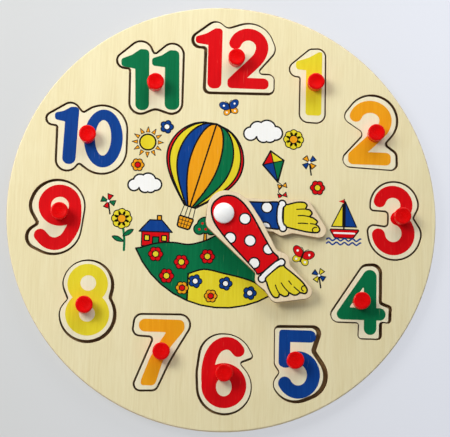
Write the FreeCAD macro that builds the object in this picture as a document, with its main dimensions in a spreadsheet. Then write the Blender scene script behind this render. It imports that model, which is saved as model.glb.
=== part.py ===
import FreeCAD, Part
import Sketcher
import math
import os

# Wooden teaching clock: a round board of two plywood sheets, twelve lift-out
# numbers with pegs, and two hands that turn on one pivot.
# It lies on its back.  +Z points out of the face, +Y to twelve o'clock and
# +X to three o'clock.  The origin is the centre of the back face.
# Lengths are millimetres and angles are degrees.

SIZES = {
    # board
    "number_height": 54.0,
    "rim_width": 4.5,
    "back_thickness": 3.0,
    "front_thickness": 5.0,
    "rim_round": 0.9,
    "slot_round": 0.3,
    # gap all round each number in its slot
    "gap_1": 0.9,
    "gap_2": 1.1,
    "gap_3": 1.1,
    "gap_4": 1.4,
    "gap_5": 1.9,
    "gap_6": 1.1,
    "gap_7": 1.2,
    "gap_8": 1.5,
    "gap_9": 1.6,
    "gap_10": 1.3,
    "gap_11": 1.4,
    "gap_12": 1.4,
    "number_round": 0.3,
    "corner_radius": 0.5,
    # pegs
    "knob_radius": 6.0,
    "knob_base_radius": 5.4,
    "knob_height": 9.0,
    "knob_rim": 1.6,
    "knob_round": 0.9,
    "dish_depth": 0.4,
    "shank_radius": 2.0,
    "shank_length": 4.0,
    "shank_fit": 0.02,
    "shank_end_gap": 0.3,
    # hands
    "hand_thickness": 3.0,
    "hand_round": 0.5,
    "hand_to_knob": 15.9,
    "hour_shorter": 10.3,
    "minute_angle": -48.0,
    "hour_angle": -1.0,
    # pivot
    "post_radius": 3.0,
    "post_fit": 0.05,
    "hand_fit": 0.08,
    "hand_play": 0.1,
    "flange_radius": 7.0,
    "flange_thickness": 1.2,
    "flange_recess": 0.2,
    "flange_fit": 0.1,
    "washer_radius": 7.5,
    "washer_thickness": 0.8,
    "washer_fit": 0.06,
    "cap_radius": 7.1,
    "cap_height": 4.2,
    "cap_skirt": 2.2,
    "cap_round": 0.8,
    "cap_fit": 0.02,
    "cap_end_gap": 0.3,
    "socket_depth": 3.0,
}

# Each number's centre, as shares of the number height.
CENTRE_SHARES = {
    1: (1.065, 1.77),
    2: (1.91, 1.18),
    3: (2.235, 0.01),
    4: (1.81, -1.055),
    5: (1.045, -1.89),
    6: (0.065, -2.05),
    7: (-0.75, -1.795),
    8: (-1.69, -1.175),
    9: (-2.15, -0.1),
    10: (-1.795, 0.945),
    11: (-1.0, 1.785),
    12: (0.08, 2.095),
}

# Each slot's outline: a belt laid round circles, taken counter-clockwise.
# A circle is its centre, from the number's centre, and its radius, all as
# shares of the number height.  The belt passes a circle of negative radius
# on its other side, which makes an inside corner.
SLOT_SHARES = {
    1: [
        (0.12, -0.38, 0.13),
        (0.13, 0.395, 0.115),
        (0.065, 0.405, 0.1),
        (-0.135, 0.215, 0.11),
        (-0.125, 0.085, -0.02),
        (0.02, -0.38, 0.125),
    ],
    2: [
        (0.02, 0.16, 0.345),
        (-0.24, 0.205, 0.11),
        (-0.175, -0.035, -0.055),
        (-0.25, -0.375, 0.115),
        (0.27, -0.415, 0.095),
        (0.26, -0.32, 0.1),
        (0.255, -0.15, -0.035),
    ],
    3: [
        (0.285, 0.045, -0.025),
        (0.125, 0.22, 0.195),
        (-0.005, 0.2, 0.325),
        (-0.27, 0.175, 0.06),
        (-0.135, 0.07, -0.04),
        (-0.135, -0.03, -0.04),
        (-0.265, -0.15, 0.095),
        (0.0, -0.17, 0.355),
        (0.165, -0.175, 0.195),
    ],
    4: [
        (0.02, -0.435, 0.06),
        (0.215, -0.435, 0.06),
        (0.295, -0.295, -0.02),
        (0.345, -0.23, 0.05),
        (0.35, -0.09, 0.05),
        (0.3, 0.015, -0.03),
        (0.145, 0.37, 0.125),
        (0.09, 0.36, 0.13),
        (-0.285, -0.18, 0.11),
        (-0.055, -0.31, -0.02),
    ],
    5: [
        (-0.195, -0.265, 0.155),
        (-0.055, -0.185, 0.315),
        (0.04, -0.15, 0.31),
        (0.235, 0.18, -0.04),
        (0.15, 0.395, 0.105),
        (-0.275, 0.415, 0.075),
        (-0.25, 0.01, 0.095),
        (-0.315, -0.115, -0.03),
    ],
    6: [
        (0.315, 0.24, 0.05),
        (0.0, 0.15, 0.37),
        (-0.03, 0.215, 0.305),
        (0.185, -0.005, 0.545),
        (0.005, -0.165, 0.355),
        (0.24, 0.135, -0.02),
    ],
    7: [
        (0.235, 0.355, 0.145),
        (-0.245, 0.375, 0.115),
        (-0.27, 0.29, 0.1),
        (-0.15, 0.155, -0.03),
        (-0.24, -0.41, 0.095),
        (-0.1, -0.4, 0.1),
        (1.63, -0.86, -1.67),
    ],
    8: [
        (-0.005, 0.205, 0.33),
        (-0.115, 0.22, 0.22),
        (-0.29, 0.02, -0.02),
        (-0.135, -0.185, 0.23),
        (0.0, -0.17, 0.365),
        (0.32, 0.05, -0.02),
    ],
    9: [
        (0.02, 0.135, 0.36),
        (-0.11, 0.145, 0.235),
        (-0.27, -0.085, -0.02),
        (-0.21, -0.27, 0.165),
        (-0.025, -0.13, 0.37),
    ],
    10: [
        (0.2, -0.14, 0.335),
        (0.2, 0.12, 0.335),
        (-0.05, 0.385, -0.025),
        (-0.22, 0.34, 0.135),
        (-0.445, 0.245, 0.095),
        (-0.415, 0.125, -0.02),
        (-0.24, -0.295, 0.155),
        (-0.08, -0.38, -0.025),
    ],
    11: [
        (0.29, -0.33, 0.155),
        (0.285, 0.325, 0.16),
        (0.06, 0.365, -0.02),
        (-0.13, 0.335, 0.165),
        (-0.335, 0.22, 0.115),
        (-0.295, 0.08, -0.02),
        (-0.11, -0.34, 0.16),
        (0.09, -0.555, -0.12),
    ],
    12: [
        (0.465, -0.39, 0.09),
        (0.465, -0.28, 0.09),
        (0.385, -0.165, -0.025),
        (0.395, 0.145, 0.165),
        (0.2, 0.145, 0.345),
        (-0.07, 0.5, -0.08),
        (-0.24, 0.355, 0.14),
        (-0.44, 0.23, 0.115),
        (-0.405, 0.09, -0.025),
        (-0.3, -0.41, 0.085),
    ],
}

# How far each number lies off the middle of its slot, as shares of its gap.
DRIFT_SHARES = {
    1: (0.0, 0.0),
    2: (-0.4, -0.3),
    3: (0.0, 0.0),
    4: (-0.5, -0.4),
    5: (-0.7, 0.0),
    6: (0.4, 0.3),
    7: (0.0, 0.0),
    8: (-0.45, 0.35),
    9: (0.4, 0.0),
    10: (0.1, 0.0),
    11: (0.0, 0.1),
    12: (0.5, 0.3),
}

# Where each peg stands, from the number's centre, as shares of the number height.
PEG_SHARES = {
    1: (0.1, 0.025),
    2: (0.065, -0.03),
    3: (0.085, 0.045),
    4: (0.005, 0.0),
    5: (-0.06, 0.035),
    6: (-0.015, 0.0),
    7: (0.005, 0.0),
    8: (-0.035, -0.07),
    9: (0.04, 0.055),
    10: (0.01, 0.03),
    11: (0.07, -0.085),
    12: (0.025, -0.025),
}

# The hands' outlines, laid round circles in the same way, as shares of each
# hand's reach.  The hand points along +X from the pivot before it is turned.
MINUTE_SHARES = [
    (-0.02, 0.04, 0.155),
    (0.015, -0.085, 0.095),
    (0.545, -0.145, -0.02),
    (0.63, -0.11, 0.065),
    (0.715, -0.175, -0.015),
    (0.805, -0.1, 0.07),
    (0.935, 0.09, 0.065),
    (0.7, 0.16, -0.02),
    (0.615, 0.12, 0.06),
    (0.52, 0.155, -0.015),
    (0.03, -0.985, 1.21),
    (0.06, -0.025, 0.255),
]
HOUR_SHARES = [
    (0.005, 0.005, 0.17),
    (0.48, -0.17, -0.025),
    (0.57, -0.11, 0.07),
    (0.675, -0.175, -0.025),
    (0.925, -0.105, 0.075),
    (0.78, 0.11, 0.075),
    (0.64, 0.2, -0.02),
    (0.56, 0.125, 0.07),
    (0.47, 0.195, -0.025),
]

doc = FreeCAD.newDocument("teaching_clock")
sheet = doc.addObject("Spreadsheet::Sheet", "Sizes")
for row, (name, number) in enumerate(SIZES.items(), start=1):
    sheet.set(f"A{row}", name)
    sheet.set(f"B{row}", str(number))
    sheet.setAlias(f"B{row}", name)
doc.recompute()

# Sizes and heights that follow from the others, as formulas on the sheet.
slot_reach_share = max(
    math.hypot(CENTRE_SHARES[n][0] + x, CENTRE_SHARES[n][1] + y) + radius
    for n, circles in SLOT_SHARES.items()
    for x, y, radius in circles
    if radius > 0
)
nearest_peg_share = min(
    math.hypot(CENTRE_SHARES[n][0] + x, CENTRE_SHARES[n][1] + y)
    for n, (x, y) in PEG_SHARES.items()
)
BOARD_RADIUS = f"(Sizes.number_height * {slot_reach_share} + Sizes.rim_width)"
SLOT_REACH = f"(Sizes.number_height * {slot_reach_share})"
MINUTE_REACH = (
    f"(Sizes.number_height * {nearest_peg_share} - Sizes.knob_radius - Sizes.hand_to_knob)"
)
HOUR_REACH = f"({MINUTE_REACH} - Sizes.hour_shorter)"
FACE = "(Sizes.back_thickness + Sizes.front_thickness)"
HOUR_HAND_Z = f"({FACE} + Sizes.washer_thickness + Sizes.hand_play)"
HAND_WASHER_Z = f"({HOUR_HAND_Z} + Sizes.hand_thickness + Sizes.hand_play)"
MINUTE_HAND_Z = f"({HAND_WASHER_Z} + Sizes.washer_thickness + Sizes.hand_play)"
CAP_Z = f"({MINUTE_HAND_Z} + Sizes.hand_thickness + Sizes.hand_play)"
POST_END = f"({CAP_Z} + Sizes.socket_depth - Sizes.cap_end_gap)"


def measure(formula):
    return float(sheet.evalExpression(formula))


def origin_plane(body, role):
    return next(plane for plane in body.Origin.OriginFeatures if plane.Role == role)


def new_body(label, x="0", y="0", z="0"):
    body = doc.addObject("PartDesign::Body", label)
    body.Label = label
    body.setExpression("Placement.Base.x", x)
    body.setExpression("Placement.Base.y", y)
    body.setExpression("Placement.Base.z", z)
    return body


def new_sketch(body, name, role="XY_Plane", height="0"):
    sketch = body.newObject("Sketcher::SketchObject", name)
    sketch.AttachmentSupport = (origin_plane(body, role), [""])
    sketch.MapMode = "FlatFace"
    sketch.setExpression("AttachmentOffset.Base.z", height)
    return sketch


def bind(sketch, dimensions):
    """Adds dimensions, each a name, a constraint without its value, and a formula."""
    constraints = [
        Sketcher.Constraint(*terms, measure(formula)) for _, terms, formula in dimensions
    ]
    first = sketch.ConstraintCount
    sketch.addConstraint(constraints)
    for index, (name, _, formula) in enumerate(dimensions, start=first):
        sketch.renameConstraint(index, name)
        sketch.setExpression(f"Constraints.{name}", formula)


def draw_circle(sketch, radius, x="0", y="0"):
    centre = FreeCAD.Vector(measure(x), measure(y), 0)
    index = sketch.addGeometry(Part.Circle(centre, FreeCAD.Vector(0, 0, 1), measure(radius)))
    bind(sketch, [
        ("centre_x", ("DistanceX", -1, 1, index, 3), x),
        ("centre_y", ("DistanceY", -1, 1, index, 3), y),
        ("radius", ("Radius", index), radius),
    ])


def belt_runs(circles):
    """The straight runs of a belt laid round circles: start, end and outward angle."""
    runs = []
    for (ax, ay, ar), (bx, by, br) in zip(circles, circles[1:] + circles[:1]):
        apart = math.hypot(bx - ax, by - ay)
        outward = math.atan2(by - ay, bx - ax) + math.asin((ar - br) / apart) - math.pi / 2
        out = FreeCAD.Vector(math.cos(outward), math.sin(outward), 0)
        start = FreeCAD.Vector(ax, ay, 0) + out * ar
        end = FreeCAD.Vector(bx, by, 0) + out * br
        runs.append((start, end, outward))
    return runs


def draw_belt(sketch, shares, size, gap="0", shift=(0, 0)):
    """Draws a belt outline whose shares follow one size, drawn in by a gap."""
    formulas = []
    for x, y, radius in shares:
        if radius > 0:
            radius_formula = f"max({size} * {radius} - {gap}; Sizes.corner_radius)"
        else:
            radius_formula = f"{size} * {-radius} + {gap}"
        formulas.append((f"{size} * {shift[0] + x}", f"{size} * {shift[1] + y}", radius_formula))
    circles = [
        (measure(x), measure(y), math.copysign(measure(radius), share[2]))
        for (x, y, radius), share in zip(formulas, shares)
    ]
    runs = belt_runs(circles)
    lines = sketch.addGeometry([Part.LineSegment(start, end) for start, end, _ in runs])
    arcs = []
    for index, (x, y, radius) in enumerate(circles):
        arrives = runs[index - 1][2]
        leaves = runs[index][2]
        if radius < 0:
            arrives, leaves = leaves + math.pi, arrives + math.pi
        circle = Part.Circle(FreeCAD.Vector(x, y, 0), FreeCAD.Vector(0, 0, 1), abs(radius))
        arcs.append(Part.ArcOfCircle(circle, arrives, leaves))
    arcs = sketch.addGeometry(arcs)
    joins = []
    for index, (x, y, radius) in enumerate(circles):
        arrive_end, leave_end = (1, 2) if radius > 0 else (2, 1)
        joins.append(Sketcher.Constraint("Tangent", lines[index - 1], 2, arcs[index], arrive_end))
        joins.append(Sketcher.Constraint("Tangent", arcs[index], leave_end, lines[index], 1))
    sketch.addConstraint(joins)
    dimensions = []
    for index, (x, y, radius) in enumerate(formulas):
        dimensions.append((f"x_{index}", ("DistanceX", -1, 1, arcs[index], 3), x))
        dimensions.append((f"y_{index}", ("DistanceY", -1, 1, arcs[index], 3), y))
        dimensions.append((f"radius_{index}", ("Radius", arcs[index]), radius))
    bind(sketch, dimensions)


def draw_turned_profile(sketch, corners):
    """Draws a closed profile.  Lines join its corners, but a corner with a third
    item, "dome", starts an arc about a point on the axis, which ends at the next."""
    spots = [FreeCAD.Vector(measure(corner[0]), measure(corner[1]), 0) for corner in corners]
    edges = []
    ends = []
    joins = []
    dimensions = []
    for start, end, corner in zip(spots, spots[1:] + spots[:1], corners):
        first, last = 1, 2
        if len(corner) == 3:
            fall = start.y - end.y
            centre_y = (start.y + end.y) / 2 - (end.x ** 2 - start.x ** 2) / (2 * fall)
            centre = FreeCAD.Vector(0, centre_y, 0)
            circle = Part.Circle(centre, FreeCAD.Vector(0, 0, 1), (start - centre).Length)
            angles = [math.atan2(spot.y - centre_y, spot.x) for spot in (start, end)]
            if angles[0] > angles[1]:
                first, last = last, first
            edge = sketch.addGeometry(Part.ArcOfCircle(circle, min(angles), max(angles)))
            joins.append(Sketcher.Constraint("PointOnObject", edge, 3, -2))
        else:
            edge = sketch.addGeometry(Part.LineSegment(start, end))
        edges.append(edge)
        ends.append((first, last))
    for index, corner in enumerate(corners):
        spot = (edges[index], ends[index][0])
        joins.append(Sketcher.Constraint("Coincident", edges[index - 1], ends[index - 1][1], *spot))
        dimensions.append((f"out_{index}", ("DistanceX", -1, 1) + spot, corner[0]))
        dimensions.append((f"up_{index}", ("DistanceY", -1, 1) + spot, corner[1]))
    sketch.addConstraint(joins)
    bind(sketch, dimensions)


def pad(body, sketch, length, name):
    feature = body.newObject("PartDesign::Pad", name)
    feature.Profile = sketch
    feature.setExpression("Length", length)
    doc.recompute()
    return feature


def pocket(body, sketch, name, depth=None):
    """Cuts the sketch's shape right through, or downwards to a depth."""
    before = body.Shape.Volume
    feature = body.newObject("PartDesign::Pocket", name)
    feature.Profile = sketch
    if depth is None:
        feature.Type = "ThroughAll"
        feature.Midplane = True
    else:
        feature.setExpression("Length", depth)
    doc.recompute()
    if not body.Shape.Volume < before:
        raise RuntimeError(f"{name} cuts nothing")
    return feature


def turn(body, sketch, name):
    feature = body.newObject("PartDesign::Revolution", name)
    feature.Profile = sketch
    feature.ReferenceAxis = (sketch, ["V_Axis"])
    feature.Angle = 360.0
    doc.recompute()
    return feature


def edge_names(feature, height, within=None, beyond=None):
    """The edges that lie flat at a height, between two distances from the axis."""
    near = measure("Sizes.post_fit") / 10
    names = []
    for index, edge in enumerate(feature.Shape.Edges, start=1):
        distances = [math.hypot(vertex.X, vertex.Y) for vertex in edge.Vertexes]
        flat = abs(edge.BoundBox.ZMin - height) < near and abs(edge.BoundBox.ZMax - height) < near
        inside = within is None or max(distances) < within + near
        outside = beyond is None or min(distances) > beyond - near
        if flat and inside and outside:
            names.append(f"Edge{index}")
    return names


def round_edges(body, feature, names, radius, name):
    fillet = body.newObject("PartDesign::Fillet", name)
    fillet.Base = (feature, names)
    fillet.setExpression("Radius", radius)
    doc.recompute()
    return fillet


def make_back_board():
    body = new_body("back_board")
    sketch = new_sketch(body, "back_board_outline")
    draw_circle(sketch, BOARD_RADIUS)
    disc = pad(body, sketch, "Sizes.back_thickness", "back_board_sheet")
    round_edges(body, disc, edge_names(disc, 0), "Sizes.rim_round", "back_board_edge")
    sketch = new_sketch(body, "back_board_bore_outline")
    draw_circle(sketch, "Sizes.post_radius + Sizes.post_fit")
    pocket(body, sketch, "back_board_bore")
    depth = "Sizes.flange_recess + Sizes.flange_thickness"
    sketch = new_sketch(body, "back_board_recess_outline", height=depth)
    draw_circle(sketch, "Sizes.flange_radius + Sizes.flange_fit")
    pocket(body, sketch, "back_board_recess", depth)
    return body


def make_front_board():
    body = new_body("front_board", z="Sizes.back_thickness")
    top = measure("Sizes.front_thickness")
    sketch = new_sketch(body, "front_board_outline")
    draw_circle(sketch, BOARD_RADIUS)
    disc = pad(body, sketch, "Sizes.front_thickness", "front_board_sheet")
    round_edges(body, disc, edge_names(disc, top), "Sizes.rim_round", "front_board_edge")
    for n, circles in SLOT_SHARES.items():
        sketch = new_sketch(body, f"slot_{n}_outline")
        draw_belt(sketch, circles, "Sizes.number_height", shift=CENTRE_SHARES[n])
        last = pocket(body, sketch, f"slot_{n}")
    slot_edges = edge_names(last, top, within=measure(SLOT_REACH))
    round_edges(body, last, slot_edges, "Sizes.slot_round", "slot_edges")
    sketch = new_sketch(body, "front_board_bore_outline")
    draw_circle(sketch, "Sizes.post_radius + Sizes.post_fit")
    pocket(body, sketch, "front_board_bore")
    return body


def place_of(n, x_share=0, y_share=0):
    """Where a point of a number lies, with the number off the middle of its slot."""
    x = (
        f"Sizes.number_height * {CENTRE_SHARES[n][0] + x_share}"
        f" + Sizes.gap_{n} * {DRIFT_SHARES[n][0]}"
    )
    y = (
        f"Sizes.number_height * {CENTRE_SHARES[n][1] + y_share}"
        f" + Sizes.gap_{n} * {DRIFT_SHARES[n][1]}"
    )
    return x, y


def make_number(n):
    x, y = place_of(n)
    body = new_body(f"number_{n}", x, y, "Sizes.back_thickness")
    sketch = new_sketch(body, f"number_{n}_outline")
    draw_belt(sketch, SLOT_SHARES[n], "Sizes.number_height", f"Sizes.gap_{n}")
    sheet_pad = pad(body, sketch, "Sizes.front_thickness", f"number_{n}_sheet")
    top_edges = edge_names(sheet_pad, measure("Sizes.front_thickness"))
    round_edges(body, sheet_pad, top_edges, "Sizes.number_round", f"number_{n}_edge")
    sketch = new_sketch(body, f"number_{n}_bore_outline", height="Sizes.front_thickness")
    bore_x = f"Sizes.number_height * {PEG_SHARES[n][0]}"
    bore_y = f"Sizes.number_height * {PEG_SHARES[n][1]}"
    draw_circle(sketch, "Sizes.shank_radius + Sizes.shank_fit", bore_x, bore_y)
    pocket(body, sketch, f"number_{n}_bore", "Sizes.shank_length + Sizes.shank_end_gap")
    return body


def make_peg(n):
    x, y = place_of(n, *PEG_SHARES[n])
    body = new_body(f"peg_{n}", x, y, FACE)
    sketch = new_sketch(body, f"peg_{n}_profile", "XZ_Plane")
    draw_turned_profile(sketch, [
        ("0", "-Sizes.shank_length"),
        ("Sizes.shank_radius", "-Sizes.shank_length"),
        ("Sizes.shank_radius", "0"),
        ("Sizes.knob_base_radius", "0"),
        ("Sizes.knob_radius", "Sizes.knob_height - Sizes.knob_rim"),
        ("Sizes.knob_radius", "Sizes.knob_height"),
        ("Sizes.knob_radius - Sizes.knob_rim", "Sizes.knob_height", "dome"),
        ("0", "Sizes.knob_height - Sizes.dish_depth"),
    ])
    knob = turn(body, sketch, f"peg_{n}_knob")
    rim = measure("Sizes.knob_radius")
    rim_edges = edge_names(knob, measure("Sizes.knob_height"), beyond=rim)
    round_edges(body, knob, rim_edges, "Sizes.knob_round", f"peg_{n}_rim")
    return body


def make_hand(label, shares, reach, angle, z):
    body = new_body(label, z=z)
    body.setExpression("Placement.Rotation.Angle", angle)
    sketch = new_sketch(body, f"{label}_outline")
    draw_belt(sketch, shares, reach)
    sheet_pad = pad(body, sketch, "Sizes.hand_thickness", f"{label}_sheet")
    edges = edge_names(sheet_pad, measure("Sizes.hand_thickness")) + edge_names(sheet_pad, 0)
    round_edges(body, sheet_pad, edges, "Sizes.hand_round", f"{label}_edge")
    sketch = new_sketch(body, f"{label}_bore_outline")
    draw_circle(sketch, "Sizes.post_radius + Sizes.hand_fit")
    pocket(body, sketch, f"{label}_bore")
    return body


def make_washer(label, z):
    body = new_body(label, z=z)
    sketch = new_sketch(body, f"{label}_outline")
    draw_circle(sketch, "Sizes.washer_radius")
    pad(body, sketch, "Sizes.washer_thickness", f"{label}_sheet")
    sketch = new_sketch(body, f"{label}_bore_outline")
    draw_circle(sketch, "Sizes.post_radius + Sizes.washer_fit")
    pocket(body, sketch, f"{label}_bore")
    return body


def make_pivot_post():
    body = new_body("pivot_post", z="Sizes.flange_recess")
    sketch = new_sketch(body, "pivot_post_profile", "XZ_Plane")
    end = f"{POST_END} - Sizes.flange_recess"
    draw_turned_profile(sketch, [
        ("0", "0"),
        ("Sizes.flange_radius", "0"),
        ("Sizes.flange_radius", "Sizes.flange_thickness"),
        ("Sizes.post_radius", "Sizes.flange_thickness"),
        ("Sizes.post_radius", end),
        ("0", end),
    ])
    turn(body, sketch, "pivot_post_turned")
    return body


def make_pivot_cap():
    body = new_body("pivot_cap", z=CAP_Z)
    sketch = new_sketch(body, "pivot_cap_profile", "XZ_Plane")
    bore = "Sizes.post_radius + Sizes.cap_fit"
    draw_turned_profile(sketch, [
        (bore, "0"),
        ("Sizes.cap_radius", "0"),
        ("Sizes.cap_radius", "Sizes.cap_skirt", "dome"),
        ("0", "Sizes.cap_height"),
        ("0", "Sizes.socket_depth"),
        (bore, "Sizes.socket_depth"),
    ])
    dome = turn(body, sketch, "pivot_cap_turned")
    edges = edge_names(dome, measure("Sizes.cap_skirt"), beyond=measure("Sizes.cap_radius"))
    round_edges(body, dome, edges, "Sizes.cap_round", "pivot_cap_edge")
    return body


pieces = [make_back_board(), make_front_board()]
for n in SLOT_SHARES:
    pieces.append(make_number(n))
    pieces.append(make_peg(n))
pieces.append(make_hand("hour_hand", HOUR_SHARES, HOUR_REACH, "Sizes.hour_angle", HOUR_HAND_Z))
pieces.append(
    make_hand("minute_hand", MINUTE_SHARES, MINUTE_REACH, "Sizes.minute_angle", MINUTE_HAND_Z)
)
pieces.append(make_washer("board_washer", FACE))
pieces.append(make_washer("hand_washer", HAND_WASHER_Z))
pieces.append(make_pivot_post())
pieces.append(make_pivot_cap())
doc.recompute()

for item in doc.Objects:
    if "Invalid" in item.State or "Error" in item.State:
        raise RuntimeError(f"{item.Label} did not build: {item.State}")
for piece in pieces:
    if piece.Shape.isNull() or not piece.Shape.isValid() or len(piece.Shape.Solids) != 1:
        raise RuntimeError(f"{piece.Label} is not one valid solid")

os.makedirs("parts", exist_ok=True)
for piece in pieces:
    piece.Shape.exportStep(f"parts/{piece.Label}.step")
print(len(pieces), "pieces written")
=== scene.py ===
import math

import bmesh
import bpy
import numpy as np
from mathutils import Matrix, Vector
from mathutils.geometry import delaunay_2d_cdt


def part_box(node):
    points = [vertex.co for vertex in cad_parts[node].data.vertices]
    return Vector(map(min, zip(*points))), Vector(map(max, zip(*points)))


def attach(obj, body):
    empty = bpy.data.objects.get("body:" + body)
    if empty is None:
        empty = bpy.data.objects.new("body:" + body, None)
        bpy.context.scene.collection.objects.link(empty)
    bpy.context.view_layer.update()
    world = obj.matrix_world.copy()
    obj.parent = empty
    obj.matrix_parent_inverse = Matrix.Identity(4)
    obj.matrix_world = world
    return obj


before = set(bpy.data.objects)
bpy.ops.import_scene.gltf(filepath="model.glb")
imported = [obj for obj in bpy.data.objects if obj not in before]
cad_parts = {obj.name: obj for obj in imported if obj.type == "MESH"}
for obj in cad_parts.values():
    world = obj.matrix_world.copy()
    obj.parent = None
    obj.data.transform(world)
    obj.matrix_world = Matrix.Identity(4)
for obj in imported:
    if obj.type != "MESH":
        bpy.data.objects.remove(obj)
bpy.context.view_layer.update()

# Lengths are in millimetres until a mesh is made. Nodes, lamps and the camera are in metres.
MM = 0.001
HOURS = range(1, 13)
face_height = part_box("front_board")[1].z / MM
board_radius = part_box("front_board")[1].x / MM
hour_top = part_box("hour_hand")[1].z / MM
minute_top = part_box("minute_hand")[1].z / MM


# Flat drawing

ARC_STEP_DEGREES = 9
CORNER_STEP = 0.25
BEND_STEP = 0.2
SHARPEST_UNSEEN_BEND = 0.002


def disc(x, y, radius, sides=28):
    """A round spot."""
    return oval(x, y, radius, radius, sides)


def oval(x, y, width, height, sides=48):
    """An oval with these half widths."""
    turns = [math.tau * k / sides for k in range(sides)]
    return [(x + width * math.cos(t), y + height * math.sin(t)) for t in turns]


def arc(x, y, width, height, start, end):
    """Points along part of an oval, from one angle to another in degrees."""
    steps = max(4, round(abs(end - start) / ARC_STEP_DEGREES))
    turns = [math.radians(start + (end - start) * k / steps) for k in range(steps + 1)]
    return [(x + width * math.cos(t), y + height * math.sin(t)) for t in turns]


def smooth(points, closed=False, steps=6):
    """A flowing curve through a few points."""
    count = len(points)
    path = []
    for k in range(count if closed else count - 1):
        if closed:
            a, b, c, d = (Vector(points[(k + n) % count]) for n in (-1, 0, 1, 2))
        else:
            a, b, c, d = (Vector(points[min(max(k + n, 0), count - 1)]) for n in (-1, 0, 1, 2))
        for n in range(steps):
            t = n / steps
            spot = 0.5 * (2 * b + (c - a) * t + (2 * a - 5 * b + 4 * c - d) * t * t
                          + (3 * b - a - 3 * c + d) * t * t * t)
            path.append(tuple(spot))
    if not closed:
        path.append(tuple(points[-1]))
    return path


def rounded(corners):
    """A polygon of (x, y, radius) corners, each rounded by its radius."""
    outline = []
    for k, (x, y, radius) in enumerate(corners):
        here = Vector((x, y))
        before = Vector(corners[k - 1][:2]) - here
        after = Vector(corners[(k + 1) % len(corners)][:2]) - here
        half_angle = before.angle(after) / 2
        reach = min(radius / math.tan(half_angle), before.length / 2, after.length / 2)
        radius = reach * math.tan(half_angle)
        before.normalize()
        after.normalize()
        middle = here + (before + after).normalized() * (radius / math.sin(half_angle))
        first = here + before * reach - middle
        swing = (here + after * reach - middle).angle_signed(first)
        start = math.atan2(first.y, first.x)
        steps = max(2, round(abs(swing) / CORNER_STEP))
        for n in range(steps + 1):
            turn = start + swing * n / steps
            outline.append((middle.x + radius * math.cos(turn), middle.y + radius * math.sin(turn)))
    return outline


def wedge(corner, first, second):
    """The gap outside a bend, between two arms of one length that start at its corner."""
    swing = second.angle_signed(first)
    steps = max(1, round(abs(swing) / BEND_STEP))
    start = math.atan2(first.y, first.x)
    turns = [start + swing * n / steps for n in range(steps + 1)]
    reach = first.length
    return [tuple(corner)] + [(corner.x + reach * math.cos(t), corner.y + reach * math.sin(t)) for t in turns]


def stroke(path, half_width, closed=False):
    """A line of even width along a path, round at its ends and bends, as flat shapes."""
    points = [Vector(p) for p in path]
    if closed:
        points.append(points[0])
        shapes = []
    else:
        shapes = [disc(*points[0], half_width, 20), disc(*points[-1], half_width, 20)]
    arms = []
    for a, b in zip(points, points[1:]):
        arm = (b - a).normalized().orthogonal() * half_width
        arms.append(arm)
        shapes.append([tuple(a + arm), tuple(a - arm), tuple(b - arm), tuple(b + arm)])
    bends = list(zip(points[1:], arms, arms[1:]))
    if closed:
        bends.append((points[0], arms[-1], arms[0]))
    for corner, first, second in bends:
        bend = first.angle_signed(second)
        if abs(bend) > SHARPEST_UNSEEN_BEND:
            outer = math.copysign(1, bend)
            shapes.append(wedge(corner, first * outer, second * outer))
    return shapes


def strokes(paths, half_width):
    """Several lines of one width."""
    return [shape for path in paths for shape in stroke(path, half_width)]


def outline_of(shape, half_width):
    """A line of even width round a closed shape."""
    return stroke(shape, half_width, closed=True)


LINE_WIDTH = 1.15
HALF_LINE = LINE_WIDTH / 2


def outlined(ink, shape, half_width=HALF_LINE):
    """The coats of a shape in one ink with a dark line round it."""
    return [(ink, [shape]), ("black", outline_of(shape, half_width))]


def placed(shape, x, y, turn=0, size=1):
    """A shape turned by degrees, sized and moved."""
    c, s = size * math.cos(math.radians(turn)), size * math.sin(math.radians(turn))
    return [(x + c * p[0] - s * p[1], y + s * p[0] + c * p[1]) for p in shape]


def placed_coats(coats, x, y, turn=0, size=1):
    """Coats of ink that are all turned, sized and moved alike."""
    return [(ink, [placed(shape, x, y, turn, size) for shape in shapes]) for ink, shapes in coats]


def spots_inside(shape, spots):
    """The numbers of those spots that lie inside a shape."""
    ring = np.array(shape)
    near = np.nonzero(((spots > ring.min(0)) & (spots < ring.max(0))).all(1))[0]
    x, y = spots[near].T
    inside = np.zeros(len(near), bool)
    for (x0, y0), (x1, y1) in zip(ring, np.roll(ring, -1, 0)):
        if y0 != y1:
            inside ^= ((y0 > y) != (y1 > y)) & (x < x0 + (x1 - x0) * (y - y0) / (y1 - y0))
    return near[inside]


def anticlockwise_triangle(triangle, corners):
    """A triangle of corner numbers, in the order that faces it up."""
    a, b, c = (corners[n] for n in triangle)
    return triangle if (b - a).cross(c - a) > 0 else triangle[::-1]


def new_object(name, data):
    """An object in the scene."""
    thing = bpy.data.objects.new(name, data)
    bpy.context.scene.collection.objects.link(thing)
    return thing


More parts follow.
